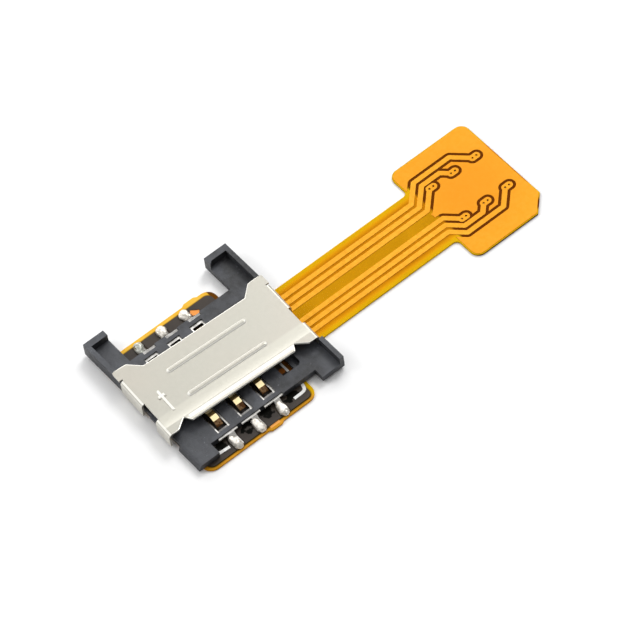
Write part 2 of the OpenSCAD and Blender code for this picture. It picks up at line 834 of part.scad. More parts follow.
module cover() {
    color("gainsboro") translate([cover_x, cover_y, 0]) rotate(-cover_turn) difference() {
        union() {
            cover_flat();
            cover_lip();
            cover_flanges();
            arrow();
            intersection() {
                block([-half_w, -near_foot, cover_top - cover_t / 2], [half_w, far_foot, cover_top + over]);
                union() {
                    rib(rib_far, false);
                    rib(-rib_near, false);
                }
            }
        }
        rib(rib_far, true);
        rib(-rib_near, true);
    }
}

base_film();
copper_trace(1);  // copper_trace_1
copper_trace(2);  // copper_trace_2
copper_trace(3);  // copper_trace_3
copper_trace(4);  // copper_trace_4
copper_trace(5);  // copper_trace_5
copper_trace(6);  // copper_trace_6
ground_pour();
coverlay();
solder_mask();
contact_pad(1);  // contact_pad_1
contact_pad(2);  // contact_pad_2
contact_pad(3);  // contact_pad_3
contact_pad(4);  // contact_pad_4
contact_pad(5);  // contact_pad_5
contact_pad(6);  // contact_pad_6
housing();
contact(1);  // contact_1
contact(2);  // contact_2
contact(3);  // contact_3
contact(4);  // contact_4
contact(5);  // contact_5
contact(6);  // contact_6
solder_joint(1);  // solder_joint_1
solder_joint(2);  // solder_joint_2
solder_joint(3);  // solder_joint_3
solder_joint(4);  // solder_joint_4
solder_joint(5);  // solder_joint_5
solder_joint(6);  // solder_joint_6
cover();
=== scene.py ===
"""Card socket on a flexible circuit: light, camera, printed marks, solder and finishes.

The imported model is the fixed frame. Lengths are in metres and in the part's own frame, with MM
for a millimetre. X runs from the board to the paddle, and Z is up. Near and left are the low
ends of Y and X, far and right the high ends, as the camera sees them.
"""
import bpy
import math
from mathutils import Matrix, Vector


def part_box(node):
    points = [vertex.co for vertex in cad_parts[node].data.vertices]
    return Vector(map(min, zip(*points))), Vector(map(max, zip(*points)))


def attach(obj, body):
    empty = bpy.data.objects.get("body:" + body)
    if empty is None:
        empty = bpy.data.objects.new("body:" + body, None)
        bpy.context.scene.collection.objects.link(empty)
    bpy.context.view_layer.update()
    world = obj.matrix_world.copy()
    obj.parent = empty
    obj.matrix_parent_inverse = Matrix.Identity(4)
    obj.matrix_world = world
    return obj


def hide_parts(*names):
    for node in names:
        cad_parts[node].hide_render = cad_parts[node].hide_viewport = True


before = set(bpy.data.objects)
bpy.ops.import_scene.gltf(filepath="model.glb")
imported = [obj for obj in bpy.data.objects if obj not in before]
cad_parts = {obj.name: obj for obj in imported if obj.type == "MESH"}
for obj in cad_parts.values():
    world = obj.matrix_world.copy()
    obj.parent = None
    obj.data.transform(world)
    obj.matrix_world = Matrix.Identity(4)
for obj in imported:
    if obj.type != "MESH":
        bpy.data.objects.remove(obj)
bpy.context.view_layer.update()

MM = 0.001
PLACES = range(1, 7)
CONTACT_PITCH = 2.54 * MM

# The board, the cable and the paddle
FILM_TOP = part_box("solder_mask")[1].z
BOARD_X1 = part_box("solder_mask")[1].x
BOARD_CORNER = 0.6 * MM
CABLE_Y = (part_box("coverlay")[0].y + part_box("coverlay")[1].y) / 2
PADDLE_X0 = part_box("ground_pour")[0].x
PADDLE_MIDDLE_X = PADDLE_X0 + 4.5 * MM
PADDLE_CORNER = 0.8 * MM

# On the board: the bare land in the spare opening, and the row of painted shadow blots by the
# housing's near wall
LAND = (3.9 * MM, -3.6 * MM)
WALL_SHADOW_X = -6.0 * MM
WALL_SHADOW_Y = -5.95 * MM

# The cover's sheet, and its arrow, which is found by its height
SHEET_THICK = 0.18 * MM
SHEET_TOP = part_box("housing")[1].z + SHEET_THICK
ARROW_TOP = SHEET_TOP + 0.05 * MM
ARROW_SPAN = (-6.8 * MM, -5.3 * MM)
arrow = [v.co for v in bpy.data.objects["cover"].data.vertices
         if abs(v.co.z - ARROW_TOP) < 0.002 * MM and ARROW_SPAN[0] < v.co.x < ARROW_SPAN[1]]
ARROW_X = (min(v.x for v in arrow) + max(v.x for v in arrow)) / 2
ARROW_TIP = max(v.y for v in arrow)
BARBS_BACK = 0.66 * MM

# The cover sits turned by a hair, so its arrow and the bend at its lip lean with it. Before the
# bend the lip starts softly: over a short reach the sheet seems to take up a slope.
COVER_LEAN = math.tan(math.radians(2.5))
BEND_Y = -2.69 * MM
BEND_REACH = 1.0 * MM
BEND_SLOPE = 0.17

# Broken edges, whose faces are painted lighter as a highlight: their width, the slot of their
# faces, and how far left and right the cover's go
MOULDED_EDGE = 0.05 * MM
HIGHLIGHT_EDGE = 0.08 * MM
HIGHLIGHT_EDGE_X = 7.6 * MM
EDGE_SLOT = 1

# What still counts as flat, in radians, and as level
FLAT_ANGLE = 0.01
HAIR = 0.003 * MM

# Solder: how a ball is scaled and how far it is drawn out, near and far, what the drawn end is
# scaled by, how square it gets, and the size and height of its lumps
BALL = 0.5 * MM
BALL_SCALE = {"near": (0.92, 1.46, 0.74), "far": (1.04, 1.46, 0.74)}
DRAWN_OUT = {"near": 0.55 * MM, "far": 0.2 * MM}
DRAWN_FROM = 0.12 * MM
DRAWN_SCALE = (0.86, 1, 0.88)
SQUARENESS = 0.22
LUMPS = ((0.5 * MM, 0.2 * MM), (0.18 * MM, 0.08 * MM))

# Printed lines: their points and width in millimetres, and their height over the mask
INK_LINES = {
    "ink_corner": ([(4.32, -5.93), (4.24, -6.26), (4.14, -6.43),
                    (3.97, -6.53), (3.75, -6.56), (2.87, -6.58)], 0.3),
    "ink_near": ([(-5.47, -6.58), (-4.41, -6.65)], 0.3),
    "ink_opening": ([(4.3, -3.0), (4.3, -4.0)], 0.22),
}
INK_LIFT = 0.004 * MM
INK_THICK = 0.012 * MM

# Lamps: azimuth and elevation in degrees, width and height in metres, power in watts
LAMPS = {
    "key": (25, 48, (0.25, 0.25), 1.95),
    "front": (-48, 62, (0.35, 0.35), 0.25),
    "back": (72, 30, (0.7, 0.28), 1.4),
    "left": (136, 40, (0.3, 0.25), 0.8),
}
LAMP_DISTANCE = 0.7
LAMP_TARGET = Vector((10 * MM, 0, 0))

# The camera, fitted to the photo: azimuth, elevation and roll in degrees, lens in millimetres
VIEW_ANGLES = (-122.119, 54.722, -8.887)
VIEW_TARGET = Vector((9.914, -1.515, 0)) * MM
VIEW_DISTANCE = 0.383133
LENS = 244.5
SENSOR = 36


# Shader building

def finish(name):
    """A new material, its node tree and its main shader."""
    material = bpy.data.materials.new(name)
    material.use_nodes = True
    tree = material.node_tree
    return material, tree, tree.nodes["Principled BSDF"]


def join(tree, out, into):
    tree.links.new(out, into)


def node(tree, kind, **settings):
    made = tree.nodes.new(kind)
    for key, value in settings.items():
        setattr(made, key, value)
    return made


def fill(made, **values):
    """Sets a node's own values; an underscore in a name stands for a space."""
    for key, value in values.items():
        made.inputs[key.replace("_", " ")].default_value = value


def coordinate(tree, kind, letter):
    coords = node(tree, "ShaderNodeTexCoord")
    parts = node(tree, "ShaderNodeSeparateXYZ")
    join(tree, coords.outputs[kind], parts.inputs["Vector"])
    return parts.outputs[letter]


def axis(tree, letter):
    """One Object coordinate, in metres."""
    return coordinate(tree, "Object", letter)


def facing(tree, letter):
    """One coordinate of the surface's own direction."""
    return coordinate(tree, "Normal", letter)


def maths(tree, operation, *values):
    """One operation; each value is a number or a socket."""
    made = node(tree, "ShaderNodeMath", operation=operation)
    for socket, value in zip(made.inputs, values):
        if isinstance(value, (int, float)):
            socket.default_value = value
        else:
            join(tree, value, socket)
    return made.outputs[0]


def plus(tree, first, second):
    return maths(tree, "ADD", first, second)


def minus(tree, first, second):
    return maths(tree, "SUBTRACT", first, second)


def times(tree, product, *others):
    for other in others:
        product = maths(tree, "MULTIPLY", product, other)
    return product


def larger(tree, first, second):
    return maths(tree, "MAXIMUM", first, second)


def size_of(tree, value):
    """A value without its sign."""
    return maths(tree, "ABSOLUTE", value)


def length_of(tree, first, second):
    """The length of a line from its two legs."""
    squares = [maths(tree, "POWER", value, 2.0) for value in (first, second)]
    return maths(tree, "SQRT", plus(tree, *squares))


def from_point(tree, x, y):
    """Distance in plan from a point."""
    return length_of(tree, minus(tree, axis(tree, "X"), x), minus(tree, axis(tree, "Y"), y))


def fade(tree, value, low, high, start=0.0, end=1.0):
    """A soft step from start at low to end at high."""
    made = node(tree, "ShaderNodeMapRange", interpolation_type="SMOOTHSTEP")
    join(tree, value, made.inputs["Value"])
    fill(made, From_Min=low, From_Max=high, To_Min=start, To_Max=end)
    return made.outputs["Result"]


def fade_out(tree, value, low, high):
    return fade(tree, value, low, high, 1.0, 0.0)


def vary(tree, share, start, end):
    """A value that goes softly from start to end with the share."""
    return fade(tree, share, 0.0, 1.0, start, end)


def blend(tree, share, first, second):
    """Mixes two colours; each is a tuple or a socket."""
    made = node(tree, "ShaderNodeMix", data_type="RGBA")
    join(tree, share, made.inputs["Factor"])
    for key, value in ((6, first), (7, second)):
        if isinstance(value, tuple):
            made.inputs[key].default_value = (*value, 1)
        else:
            join(tree, value, made.inputs[key])
    return made.outputs[2]


def grain_group():
    """Grain that every finish shares: noise on Object coordinates, cut to a soft mask."""
    group = bpy.data.node_groups.new("grain", "ShaderNodeTree")
    for name, default in (("Scale", 1000.0), ("Detail", 3.0), ("Low", 0.3), ("High", 0.7)):
        socket = group.interface.new_socket(name, in_out="INPUT", socket_type="NodeSocketFloat")
        socket.default_value = default
    group.interface.new_socket("Mask", in_out="OUTPUT", socket_type="NodeSocketFloat")
    given = node(group, "NodeGroupInput")
    given_out = node(group, "NodeGroupOutput")
    coords = node(group, "ShaderNodeTexCoord")
    noise = node(group, "ShaderNodeTexNoise")
    step = node(group, "ShaderNodeMapRange", interpolation_type="SMOOTHSTEP")
    join(group, coords.outputs["Object"], noise.inputs["Vector"])
    join(group, given.outputs["Scale"], noise.inputs["Scale"])
    join(group, given.outputs["Detail"], noise.inputs["Detail"])
    join(group, noise.outputs["Fac"], step.inputs["Value"])
    join(group, given.outputs["Low"], step.inputs["From Min"])
    join(group, given.outputs["High"], step.inputs["From Max"])
    join(group, step.outputs["Result"], given_out.inputs["Mask"])
    return group


GRAIN = grain_group()


def grain(tree, scale, detail=3.0, low=0.3, high=0.7):
    """A mask of soft spots: the larger the scale, the smaller they are."""
    made = node(tree, "ShaderNodeGroup", node_tree=GRAIN)
    fill(made, Scale=scale, Detail=detail, Low=low, High=high)
    return made.outputs["Mask"]


def relief(tree, shader, height, distance, strength=1.0):
    """Bump; the distance in metres is what a height of 1 stands for."""
    made = node(tree, "ShaderNodeBump")
    fill(made, Strength=strength, Distance=distance)
    join(tree, height, made.inputs["Height"])
    join(tree, made.outputs["Normal"], shader.inputs["Normal"])


def past_outline(tree, box, radius):
    """Distance past a node's outline, a rounded rectangle; negative inside."""
    low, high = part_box(box)
    past = []
    for letter, a, b in (("X", low.x, high.x), ("Y", low.y, high.y)):
        off_middle = size_of(tree, minus(tree, axis(tree, letter), (a + b) / 2))
        past.append(minus(tree, off_middle, (b - a) / 2 - radius))
    outer = length_of(tree, *(larger(tree, p, 0.0) for p in past))
    inner = maths(tree, "MINIMUM", larger(tree, *past), 0.0)
    return minus(tree, plus(tree, outer, inner), radius)


# Finishes

def film_finish():
    """Amber film: painted light where light comes through it beside the traces, and painted
    shade, brown, under the pour, where none comes through.
    """
    material, tree, shader = finish("amber_film")
    x = axis(tree, "X")
    y = axis(tree, "Y")

    # Across the cable the film's amber is painted with the light that comes through it: darkest
    # in the gap between the trace groups, lighter beside the traces and at the sides
    out = size_of(tree, minus(tree, y, CABLE_Y))
    cloud = grain(tree, 260.0, low=0.35, high=0.65)
    gap = blend(tree, cloud, (0.48, 0.175, 0.001), (0.54, 0.205, 0.002))
    middle = blend(tree, cloud, (0.52, 0.25, 0.002), (0.57, 0.275, 0.003))
    outer = blend(tree, cloud, (0.64, 0.38, 0.002), (0.70, 0.42, 0.004))
    by_trace = (0.76, 0.34, 0.004)
    side = blend(tree, fade(tree, out, 2.85 * MM, 3.3 * MM), by_trace, outer)
    in_middle = fade_out(tree, out, 0.45 * MM, 0.7 * MM)
    at_side = fade(tree, out, 2.55 * MM, 3.1 * MM)
    cable = blend(tree, at_side, blend(tree, in_middle, gap, middle), side)

    past_mask = past_outline(tree, "solder_mask", BOARD_CORNER)
    far = fade(tree, y, 0.0, 2.0 * MM)
    deep = blend(tree, far, (0.48, 0.22, 0.014), (0.78, 0.42, 0.035))
    pale = blend(tree, far, (0.68, 0.31, 0.029), (0.88, 0.52, 0.075))
    # Painted shade along the mask's edge, on the border of bare film
    mask_edge_shade = (0.085, 0.050, 0.004)
    border = blend(tree, fade(tree, past_mask, 0.02 * MM, 0.2 * MM), mask_edge_shade,
                   blend(tree, grain(tree, 520.0), deep, pale))
    on_board = fade_out(tree, x, BOARD_X1 - 0.2 * MM, BOARD_X1 + 0.3 * MM)
    lit = blend(tree, on_board, cable, border)

    # Under the pour the copper stops the light that comes through the film: painted shade, dark
    # brown, in the etched gaps
    past_pour = past_outline(tree, "ground_pour", PADDLE_CORNER)
    under_pour = fade_out(tree, past_pour, -0.5 * MM, -0.2 * MM)
    shade_under_pour = (0.085, 0.014, 0.0005)
    above = blend(tree, under_pour, lit, shade_under_pour)
    # The paddle's cut sides, painted dark as shade
    upright = fade_out(tree, size_of(tree, facing(tree, "Z")), 0.3, 0.7)
    at_paddle = fade(tree, x, PADDLE_X0 - 0.5 * MM, PADDLE_X0 + 0.5 * MM)
    paddle_side_shade = (0.11, 0.045, 0.003)
    above = blend(tree, times(tree, upright, at_paddle), above, paddle_side_shade)
    by_board = times(tree, fade(tree, x, BOARD_X1 - 0.1 * MM, BOARD_X1),
                     fade(tree, y, -5.3 * MM, -5.1 * MM),
                     fade_out(tree, x, BOARD_X1 + 0.6 * MM, BOARD_X1 + 0.8 * MM))
    shaded = (0.13, 0.045, 0.005)
    above = blend(tree, by_board, above, shaded)
    on_ear = times(tree, fade_out(tree, size_of(tree, x), 0.45 * MM, 0.6 * MM),
                   fade(tree, y, -7.62 * MM, -7.55 * MM),
                   fade_out(tree, y, -7.2 * MM, -7.1 * MM))
    bare_ear = (0.85, 0.38, 0.10)
    above = blend(tree, on_ear, above, bare_ear)

    masked = fade_out(tree, past_mask, -0.1 * MM, 0.1 * MM)
    copper_through, mask_through = (0.44, 0.19, 0.010), (0.21, 0.10, 0.010)
    behind = blend(tree, masked, blend(tree, under_pour, lit, copper_through), mask_through)
    below = fade_out(tree, facing(tree, "Z"), -0.7, -0.3)
    join(tree, blend(tree, below, above, behind), shader.inputs["Base Color"])
    fill(shader, Roughness=0.5, Specular_IOR_Level=0.0)
    return material


def coverlay_finish():
    """Nearly clear film, which tints what lies under it."""
    material, tree, shader = finish("clear_amber_coverlay")
    amber = blend(tree, grain(tree, 180.0), (0.88, 0.27, 0.003), (0.93, 0.32, 0.005))
    join(tree, amber, shader.inputs["Base Color"])
    fill(shader, Roughness=0.35, Alpha=0.035, Specular_IOR_Level=0.2)
    relief(tree, shader, grain(tree, 240.0, 2.0), 0.02 * MM, 0.1)
    return material


def copper_finish(name, dull, bright):
    """Copper: painted deeper round the paddle's middle, so a painted sheen lightens it toward the
    edges; dark on the board but for one bare land.
    """
    material, tree, shader = finish(name)
    x = axis(tree, "X")
    on_board = fade_out(tree, x, BOARD_X1 - 0.2 * MM, BOARD_X1)
    at_land = times(tree, fade(tree, x, 1.8 * MM, 1.9 * MM),
                    fade(tree, axis(tree, "Y"), 0.0, 1.0 * MM))
    masked, land = (0.040, 0.030, 0.022), (0.72, 0.27, 0.060)
    # Painted sheen: the copper is deeper round the paddle's middle and lighter toward its edges
    middle = fade_out(tree, from_point(tree, PADDLE_MIDDLE_X, CABLE_Y), 1.5 * MM, 6.5 * MM)
    deep = (0.62, 0.215, 0.002)
    fine = grain(tree, 2600.0, 4.0)
    covered = blend(tree, times(tree, middle, 0.6), blend(tree, fine, dull, bright), deep)
    join(tree, blend(tree, on_board, covered, blend(tree, at_land, masked, land)),
         shader.inputs["Base Color"])
    fill(shader, Metallic=0.5, Roughness=0.45, Specular_IOR_Level=0.2)
    return material


def mask_finish():
    """Dark mask, with a bare amber land in the spare opening and painted shadow of the housing's
    near wall at the near joints.
    """
    material, tree, shader = finish("dark_mask")
    y = axis(tree, "Y")
    dark = blend(tree, grain(tree, 420.0), (0.026, 0.019, 0.014), (0.040, 0.029, 0.021))
    at_land = fade_out(tree, from_point(tree, *LAND), 0.22 * MM, 0.36 * MM)
    land = (0.34, 0.10, 0.009)
    clean = blend(tree, at_land, dark, land)

    # Painted shadow of the near wall: one ragged blot to each pitch, and a faint painted shade
    # over the whole row
    turns = maths(tree, "DIVIDE", minus(tree, axis(tree, "X"), WALL_SHADOW_X), CONTACT_PITCH)
    across = times(tree, minus(tree, maths(tree, "FRACT", turns), 0.5), CONTACT_PITCH)
    off_shadow_blot = length_of(tree, across, minus(tree, y, WALL_SHADOW_Y))
    ragged = times(tree, grain(tree, 1500.0, 4.0, 0.38, 0.62), 0.8 * MM)
    shadow_blot = fade_out(tree, plus(tree, off_shadow_blot, ragged), 0.9 * MM, 1.05 * MM)
    wavy = times(tree, grain(tree, 700.0), -0.5 * MM)
    faint_shade = fade(tree, plus(tree, y, wavy), -7.35 * MM, -6.95 * MM)
    near_row = fade_out(tree, y, -5.5 * MM, -5.3 * MM)
    in_wall_shadow = times(tree, larger(tree, shadow_blot, times(tree, faint_shade, 0.15)), near_row)
    wall_shadow = (0.003, 0.003, 0.002)
    join(tree, blend(tree, in_wall_shadow, clean, wall_shadow), shader.inputs["Base Color"])
    join(tree, vary(tree, in_wall_shadow, 0.3, 0.03), shader.inputs["Specular IOR Level"])
    fill(shader, Roughness=0.4)
    relief(tree, shader, grain(tree, 900.0), 0.01 * MM, 0.4)
    return material


def pad_finish():
    """Gold pads; their barrels, which rise into the film, look amber with brown walls."""
    material, tree, shader = finish("gold_plating")
    fine = grain(tree, 1500.0, 4.0)
    gold = blend(tree, fine, (0.90, 0.60, 0.20), (1.0, 0.72, 0.29))
    up = fade(tree, axis(tree, "Z"), 0.03 * MM, 0.05 * MM)
    on_wall = times(tree, up, fade_out(tree, facing(tree, "Z"), 0.3, 0.7))
    barrel_end, barrel_wall = (0.55, 0.22, 0.008), (0.060, 0.020, 0.004)
    barrel = blend(tree, on_wall, barrel_end, barrel_wall)
    join(tree, blend(tree, up, gold, barrel), shader.inputs["Base Color"])
    join(tree, vary(tree, fine, 0.28, 0.42), shader.inputs["Roughness"])
    fill(shader, Metallic=1.0)
    return material


def moulding_finish(name, dark, light, scuff, worn_most):
    """Glass-filled plastic: fine mottle, clouds and specks, scuffed most at the left."""
    material, tree, shader = finish(name)
    mottle = grain(tree, 1900.0, 5.0, 0.32, 0.68)
    cloud = times(tree, grain(tree, 330.0, 3.0, 0.42, 0.72), 0.7)
    worn = fade(tree, axis(tree, "X"), -5.0 * MM, 6.0 * MM, worn_most, 0.0)
    top = blend(tree, plus(tree, cloud, worn), blend(tree, mottle, dark, light), scuff)
    at_speck = times(tree, grain(tree, 3400.0, 1.0, 0.7, 0.78), 0.45)
    speck = (0.20, 0.21, 0.23)
    wall = blend(tree, mottle, (0.018, 0.019, 0.022), (0.040, 0.042, 0.048))
    upright = fade_out(tree, size_of(tree, facing(tree, "Z")), 0.2, 0.5)
    join(tree, blend(tree, upright, blend(tree, at_speck, top, speck), wall),
         shader.inputs["Base Color"])
    join(tree, vary(tree, mottle, 0.38, 0.58), shader.inputs["Roughness"])
    fill(shader, Specular_IOR_Level=0.45)
    relief(tree, shader, mottle, 0.02 * MM, 0.45)
    return material


def spring_finish():
    """Tin-plated frames and tails; tongues gold, with a painted highlight at the crown and
    painted shade, brown, down the slope.
    """
    material, tree, shader = finish("spring_plating")
    y = axis(tree, "Y")
    fine = grain(tree, 1800.0, 4.0)
    # The place across one spring, from -0.5 to 0.5 of a pitch
    turns = maths(tree, "DIVIDE", plus(tree, axis(tree, "X"), 2 * CONTACT_PITCH), CONTACT_PITCH)
    across = minus(tree, maths(tree, "FRACT", turns), 0.5)

    # Near frames lie in shade but for their right bar, their tail and their near left corner
    near = fade_out(tree, y, -0.5 * MM, 0.5 * MM)
    off_right_bar = fade_out(tree, across, 0.18, 0.2)
    off_tail = fade(tree, y, -5.3 * MM, -5.2 * MM)
    left_corner = times(tree, fade_out(tree, across, -0.22, -0.2),
                        fade_out(tree, y, -4.7 * MM, -4.6 * MM))
    shade = times(tree, minus(tree, times(tree, off_right_bar, off_tail), left_corner), near)
    far_tail = fade(tree, y, 5.7 * MM, 5.8 * MM)
    shade = larger(tree, times(tree, shade, 0.85), times(tree, far_tail, 0.6))
    tin = blend(tree, fine, (0.66, 0.64, 0.60), (0.84, 0.82, 0.78))
    shaded_tin = (0.13, 0.125, 0.125)
    plain = blend(tree, shade, tin, shaded_tin)

    # Painted light on the tongues by the slope of each facet: shade on the flat under the lip, a
    # pale highlight on the nose, brown shade down the steep slope
    slope = size_of(tree, facing(tree, "Y"))
    crown_light_and_shade = blend(tree, fade(tree, slope, 0.1, 0.2), (0.50, 0.36, 0.14), (1.0, 0.83, 0.48))
    slope_shade = blend(tree, grain(tree, 2600.0, 2.0, 0.45, 0.6),
                  (0.20, 0.09, 0.035), (0.50, 0.30, 0.15))
    tongue = blend(tree, fade(tree, slope, 0.42, 0.5), crown_light_and_shade, slope_shade)
    on_tongue = times(tree, fade_out(tree, size_of(tree, across), 0.155, 0.175),
                      fade_out(tree, size_of(tree, y), 4.8 * MM, 4.9 * MM))
    join(tree, blend(tree, on_tongue, plain, tongue), shader.inputs["Base Color"])
    join(tree, vary(tree, fine, 0.25, 0.4), shader.inputs["Roughness"])
    join(tree, fade(tree, y, -5.7 * MM, -5.5 * MM, 0.45, 1.0), shader.inputs["Metallic"])
    return material


def solder_finish():
    """Reflowed solder; the far left joint is duller."""
    material, tree, shader = finish("reflowed_solder")
    fine = grain(tree, 2200.0, 5.0)
    tin = blend(tree, fine, (0.56, 0.52, 0.45), (0.92, 0.88, 0.81))
    grey = blend(tree, fine, (0.40, 0.41, 0.36), (0.62, 0.62, 0.56))
    dull_joint = times(tree, fade_out(tree, axis(tree, "X"), -3.1 * MM, -2.9 * MM),
                       fade(tree, axis(tree, "Y"), 0.0, 1.0 * MM))
    join(tree, blend(tree, dull_joint, tin, grey), shader.inputs["Base Color"])
    join(tree, vary(tree, fine, 0.3, 0.48), shader.inputs["Roughness"])
    fill(shader, Metallic=0.6)
    relief(tree, shader, fine, 0.02 * MM, 0.4)
    return material


def off_arrow_gaps(tree):
    """0 on the sheet close beside the arrow's strokes, 1 on the strokes and elsewhere."""
    past_tip = minus(tree, axis(tree, "Y"), ARROW_TIP)
    off_shaft = size_of(tree, minus(tree, minus(tree, axis(tree, "X"), ARROW_X),
                                    times(tree, past_tip, COVER_LEAN)))
    off_barbs = size_of(tree, plus(tree, past_tip, BARBS_BACK))
    past_strokes = times(tree, fade(tree, off_shaft, 0.1 * MM, 0.15 * MM),
                         fade(tree, off_barbs, 0.1 * MM, 0.16 * MM))
    past_barb_ends = fade(tree, off_shaft, 0.28 * MM, 0.36 * MM)
    close_by = fade_out(tree, off_shaft, 0.6 * MM, 0.7 * MM)
    return minus(tree, 1.0, times(tree, larger(tree, past_strokes, past_barb_ends), close_by))


def cover_finish(name, dull, bright, cast, lip_light, rough_least, rough_most):
    """Satin nickel with a faint warm cast: painted light makes it paler by the lip and on the
    flanges, and painted highlights make it bright on the folds and on the flanks of what is
    pressed up in it."""
    material, tree, shader = finish(name)
    fine = grain(tree, 3200.0)
    cloud = times(tree, grain(tree, 110.0, 2.0), 0.5)
    past_bend = plus(tree, minus(tree, axis(tree, "Y"), BEND_Y),
                     times(tree, axis(tree, "X"), COVER_LEAN))
    # Painted light, paler, near the lip and on the flanges
    near_lip = times(tree, fade_out(tree, past_bend, 1.1 * MM, 1.4 * MM),
                     fade(tree, past_bend, -0.1 * MM, 0.0))
    top = blend(tree, cloud, blend(tree, fine, dull, bright), cast)
    on_flange = fade(tree, size_of(tree, facing(tree, "X")), 0.7, 0.95)
    flange_light = (0.74, 0.72, 0.65)
    satin = blend(tree, on_flange, blend(tree, near_lip, top, lip_light), flange_light)

    # Painted highlights: the flanks of the ribs and the arrow, and the left folds, lighter and
    # less metallic
    z = axis(tree, "Z")
    flank = times(tree, fade(tree, z, SHEET_TOP + 0.006 * MM, SHEET_TOP + 0.014 * MM),
                  fade_out(tree, z, SHEET_TOP + 0.07 * MM, SHEET_TOP + 0.09 * MM),
                  off_arrow_gaps(tree))
    turned_left = times(tree, facing(tree, "X"), -1.0)
    fold = times(tree, fade(tree, turned_left, 0.08, 0.2), fade_out(tree, turned_left, 0.6, 0.75))
    highlit = larger(tree, flank, times(tree, fold, 0.9))
    painted_highlight = (0.85, 0.835, 0.77)
    join(tree, blend(tree, highlit, satin, painted_highlight), shader.inputs["Base Color"])
    join(tree, minus(tree, 0.9, times(tree, highlit, 0.7)), shader.inputs["Metallic"])
    join(tree, vary(tree, fine, rough_least, rough_most), shader.inputs["Roughness"])

    off_bend = maths(tree, "DIVIDE", larger(tree, past_bend, 0.0), BEND_REACH)
    near_bend = larger(tree, minus(tree, 1.0, off_bend), 0.0)
    rise = times(tree, maths(tree, "POWER", near_bend, 2.0), BEND_SLOPE * BEND_REACH / 2)
    in_metres = 1.0
    relief(tree, shader, plus(tree, rise, times(tree, fine, 0.0002 * MM)), in_metres)
    return material


def ink_finish():
    """White ink, worn thin in places."""
    material, tree, shader = finish("white_ink")
    worn = grain(tree, 2500.0, 4.0, 0.3, 0.6)
    join(tree, blend(tree, worn, (0.70, 0.69, 0.66), (0.88, 0.88, 0.86)),
         shader.inputs["Base Color"])
    fill(shader, Roughness=0.5)
    return material


# Pieces

def make_active(piece):
    """Selects one piece alone."""
    bpy.ops.object.select_all(action="DESELECT")
    bpy.context.view_layer.objects.active = piece
    piece.select_set(True)


def edit_all():
    """Edit mode, with the whole mesh selected."""
    bpy.ops.object.mode_set(mode="EDIT")
    bpy.ops.mesh.select_all(action="SELECT")


def select_nothing(kind):
    """Back in object mode with nothing selected in the mesh, ready to select by kind."""
    bpy.ops.object.mode_set(mode="EDIT")
    bpy.ops.mesh.select_mode(type=kind)
    bpy.ops.mesh.select_all(action="DESELECT")
    bpy.ops.object.mode_set(mode="OBJECT")


def close_up():
    """Turns every face outward and leaves edit mode."""
    bpy.ops.mesh.select_all(action="SELECT")
    bpy.ops.mesh.normals_make_consistent(inside=False)
    bpy.ops.object.mode_set(mode="OBJECT")


def copy_of(name, new):
    """A copy of a CAD node's mesh as a piece of its own, with its loose triangles merged."""
    piece = bpy.data.objects.new(new, bpy.data.objects[name].data.copy())
    bpy.context.scene.collection.objects.link(piece)
    make_active(piece)
    edit_all()
    bpy.ops.mesh.customdata_custom_splitnormals_clear()
    bpy.ops.mesh.remove_doubles(threshold=0.0005 * MM)
    bpy.ops.object.mode_set(mode="OBJECT")
    return piece


def flat_copy(name, new):
    """A copy with its flat faces whole and two empty slots, for the faces and for the edges."""
    piece = copy_of(name, new)
    edit_all()
    bpy.ops.mesh.dissolve_limited(angle_limit=FLAT_ANGLE)
    bpy.ops.object.mode_set(mode="OBJECT")
    piece.data.materials.clear()
    piece.data.materials.append(None)
    piece.data.materials.append(None)
    return piece


def apply_all(piece):
    """Applies every modifier, in order."""
    make_active(piece)
    for modifier in list(piece.modifiers):
        bpy.ops.object.modifier_apply(modifier=modifier.name)


def coverlay_sheet():
    """The coverlay as one sheet over the copper, without the pockets that the copper fills."""
    piece = copy_of("coverlay", "coverlay_sheet")
    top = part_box("coverlay")[1].z
    floor_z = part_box("coverlay")[0].z
    clearance = 0.004 * MM
    select_nothing("FACE")
    for face in piece.data.polygons:
        face.select = not (face.normal.z > 0.99 and face.center.z > top - 0.001 * MM)
    bpy.ops.object.mode_set(mode="EDIT")
    bpy.ops.mesh.delete(type="FACE")
    bpy.ops.mesh.select_all(action="SELECT")
    bpy.ops.mesh.dissolve_limited(angle_limit=FLAT_ANGLE)
    bpy.ops.mesh.select_all(action="SELECT")
    down = (0, 0, floor_z + clearance - top)
    bpy.ops.mesh.extrude_region_move(TRANSFORM_OT_translate={"value": down})
    close_up()
    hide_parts("coverlay")
    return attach(piece, "root")


def moulded_body():
    """The housing with its edges broken, as a mould leaves them."""
    piece = flat_copy("housing", "moulded_body")
    edge = piece.modifiers.new("edge", "BEVEL")
    edge.width = MOULDED_EDGE
    edge.segments = 2
    edge.limit_method = "ANGLE"
    edge.angle_limit = math.radians(40)
    edge.harden_normals = True
    edge.material = EDGE_SLOT
    apply_all(piece)
    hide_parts("housing")
    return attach(piece, "root")


def faces_by_edge(mesh):
    """The faces beside each edge, under the edge's key."""
    faces = {}
    for face in mesh.polygons:
        for key in face.edge_keys:
            faces.setdefault(key, []).append(face)
    return faces


def is_highlight_edge(ends, beside):
    """Whether an edge lies on the flat of the cover or on its lip and falls away beside it."""
    flat, side = sorted(beside, key=lambda face: -face.normal.z)
    low = min(v.z for v in ends)
    on_sheet = low > SHEET_TOP - HAIR and all(
        abs(v.z - SHEET_TOP) < HAIR or v.y < BEND_Y for v in ends)
    off_folds = all(abs(v.x) < HIGHLIGHT_EDGE_X for v in ends)
    falls_away = side.normal.z < 0.3 and side.center.z < low - HAIR
    return on_sheet and off_folds and flat.normal.z > 0.9 and falls_away


